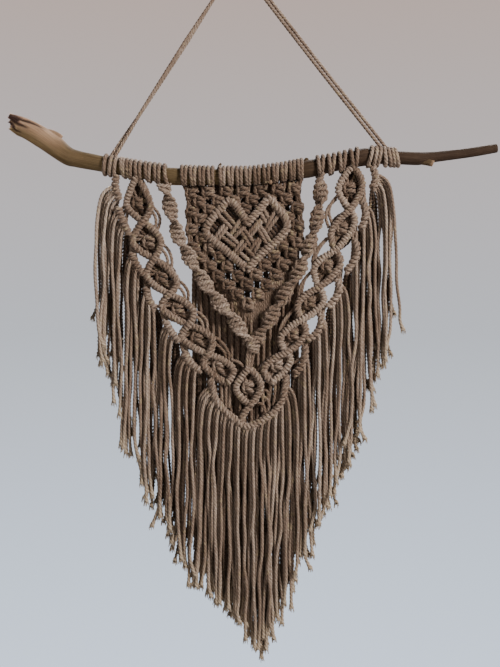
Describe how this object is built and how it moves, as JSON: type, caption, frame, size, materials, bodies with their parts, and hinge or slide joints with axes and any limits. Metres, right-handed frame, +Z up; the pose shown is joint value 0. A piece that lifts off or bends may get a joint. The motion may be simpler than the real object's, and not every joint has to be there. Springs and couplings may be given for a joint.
{
  "type": "macrame wall hanging with driftwood branch",
  "caption": "Knotted cotton cord panel with heart, lozenge bands, spirals and a long pointed fringe, hanging by a cord from a driftwood branch.",
  "frame": {"origin": "the nail point under the top of the hanging cord", "axes": "+X to the viewer's right along the branch, +Y towards the wall, +Z up"},
  "size_m": [0.5347, 0.0254, 0.7552],
  "materials": {
    "cotton": "matt twisted cotton cord",
    "driftwood": "dry, weathered, unvarnished"
  },
  "bodies": {
    "root": {"branch": "driftwood", "band_left": "cotton", "band_right": "cotton", "band_tip": "cotton", "fringe_back": "cotton", "fringe_left_0": "cotton", "fringe_left_1": "cotton", "fringe_left_2": "cotton", "fringe_left_3": "cotton", "fringe_left_4": "cotton", "fringe_left_5": "cotton", "fringe_right_0": "cotton", "fringe_right_1": "cotton", "fringe_right_2": "cotton", "fringe_right_3": "cotton", "fringe_right_4": "cotton", "fringe_right_5": "cotton", "fringe_tip": "cotton", "hitch_left": "cotton", "hitch_right": "cotton", "panel": "cotton", "spiral_left": "cotton", "spiral_right": "cotton", "hanger_a": "cotton", "hanger_b": "cotton"}
  },
  "joints": []
}
